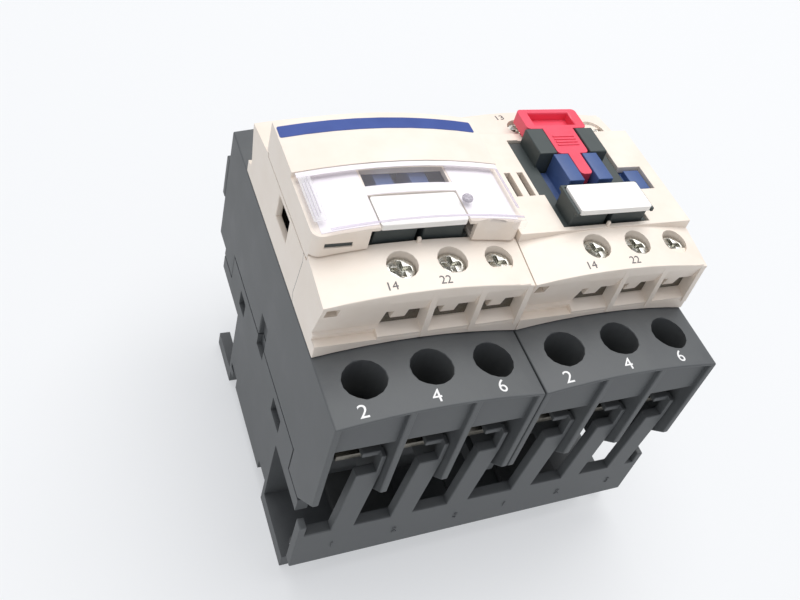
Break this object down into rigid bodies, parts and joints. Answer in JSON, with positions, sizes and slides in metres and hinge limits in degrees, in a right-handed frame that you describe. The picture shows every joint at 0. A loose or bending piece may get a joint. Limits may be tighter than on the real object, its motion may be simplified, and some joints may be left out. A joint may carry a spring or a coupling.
{
  "type": "reversing magnetic motor starter",
  "caption": "Pair of rail-mounted contactors side by side, linked and interlocked to run a motor either way, with screw terminals, a clear flap and a sliding lock.",
  "frame": {"origin": "on the panel plane, under the middle of the pair's overall box", "axes": "+X across the pair to the right contactor, +Y to the line side (up the panel), +Z out of the panel towards the front"},
  "size_m": [0.0896, 0.0874, 0.0893],
  "materials": {
    "dark_housing": "fine matt grain, dark grey glass-filled nylon",
    "cream_housing": "satin, cream thermoplastic",
    "clear_plastic": "clear and glossy",
    "white_plate": "satin white",
    "red_slide": "satin red",
    "blue_indicator": "matt blue",
    "dark_guide": "matt dark grey",
    "bright_steel": "bright zinc plate",
    "silver_copper": "copper alloy with silver tips",
    "laminated_steel": "stacked sheet steel",
    "coil_tape": "wound coil under tape",
    "spring_steel": "bright spring wire"
  },
  "bodies": {
    "enclosure": {"left_base": "dark_housing", "left_fixed_core": "laminated_steel", "left_coil": "coil_tape", "left_return_spring": "spring_steel", "left_contact_housing": "dark_housing", "left_terminal_front": "cream_housing", "left_guide_block": "dark_guide", "left_legend_plate": "white_plate", "left_line_terminal_1": "bright_steel", "left_line_screw_1": "bright_steel", "left_load_terminal_1": "bright_steel", "left_load_screw_1": "bright_steel", "left_line_terminal_2": "bright_steel", "left_line_screw_2": "bright_steel", "left_load_terminal_2": "bright_steel", "left_load_screw_2": "bright_steel", "left_line_terminal_3": "bright_steel", "left_line_screw_3": "bright_steel", "left_load_terminal_3": "bright_steel", "left_load_screw_3": "bright_steel", "right_base": "dark_housing", "right_fixed_core": "laminated_steel", "right_coil": "coil_tape", "right_return_spring": "spring_steel", "right_contact_housing": "dark_housing", "right_terminal_front": "cream_housing", "right_guide_block": "dark_guide", "right_legend_plate": "white_plate", "right_line_terminal_1": "bright_steel", "right_line_screw_1": "bright_steel", "right_load_terminal_1": "bright_steel", "right_load_screw_1": "bright_steel", "right_line_terminal_2": "bright_steel", "right_line_screw_2": "bright_steel", "right_load_terminal_2": "bright_steel", "right_load_screw_2": "bright_steel", "right_line_terminal_3": "bright_steel", "right_line_screw_3": "bright_steel", "right_load_terminal_3": "bright_steel", "right_load_screw_3": "bright_steel", "front_cover": "cream_housing", "load_link": "dark_housing", "line_link": "dark_housing"},
    "left_carriage": {"left_contact_carrier": "dark_guide", "left_indicator": "blue_indicator", "left_moving_core": "laminated_steel", "left_bridge_1": "silver_copper", "left_bridge_2": "silver_copper", "left_bridge_3": "silver_copper"},
    "right_carriage": {"right_contact_carrier": "dark_guide", "right_indicator": "blue_indicator", "right_moving_core": "laminated_steel", "right_bridge_1": "silver_copper", "right_bridge_2": "silver_copper", "right_bridge_3": "silver_copper"},
    "flap": {"clear_flap": "clear_plastic"},
    "lock": {"lock_slide": "red_slide"},
    "left_clip": {"left_rail_clip": "bright_steel"},
    "right_clip": {"right_rail_clip": "bright_steel"},
    "rocker": {"interlock_rocker": "dark_guide"}
  },
  "joints": [
    {"name": "left_close", "type": "slide", "parent": "enclosure", "child": "left_carriage", "axis": [0, 0, -1], "range_m": [0, 0.0045], "stiffness_N_per_m": 600, "springref_m": -0.01, "deforming": ["left_return_spring"]},
    {"name": "right_close", "type": "slide", "parent": "enclosure", "child": "right_carriage", "axis": [0, 0, -1], "range_m": [0, 0.0045], "stiffness_N_per_m": 600, "springref_m": -0.01, "deforming": ["right_return_spring"]},
    {"name": "flap_hinge", "type": "hinge", "parent": "enclosure", "child": "flap", "pos_m": [-0.0225, 0.00035, 0.08935], "axis": [-1, 0, 0], "range_deg": [0, 100]},
    {"name": "lock_travel", "type": "slide", "parent": "enclosure", "child": "lock", "axis": [0, 1, 0], "range_m": [0, 0.006]},
    {"name": "left_clip_release", "type": "slide", "parent": "enclosure", "child": "left_clip", "axis": [0, -1, 0], "range_m": [0, 0.0025], "stiffness_N_per_m": 1500, "springref_m": -0.002},
    {"name": "right_clip_release", "type": "slide", "parent": "enclosure", "child": "right_clip", "axis": [0, -1, 0], "range_m": [0, 0.0025], "stiffness_N_per_m": 1500, "springref_m": -0.002},
    {"name": "interlock_tilt", "type": "hinge", "parent": "enclosure", "child": "rocker", "pos_m": [0, -0.00115, 0.0733], "axis": [0, -1, 0], "range_deg": [0, 22]}
  ],
  "couplings": [
    {"joint": "interlock_tilt", "follows": "left_close", "rad_per_m": 85}
  ]
}
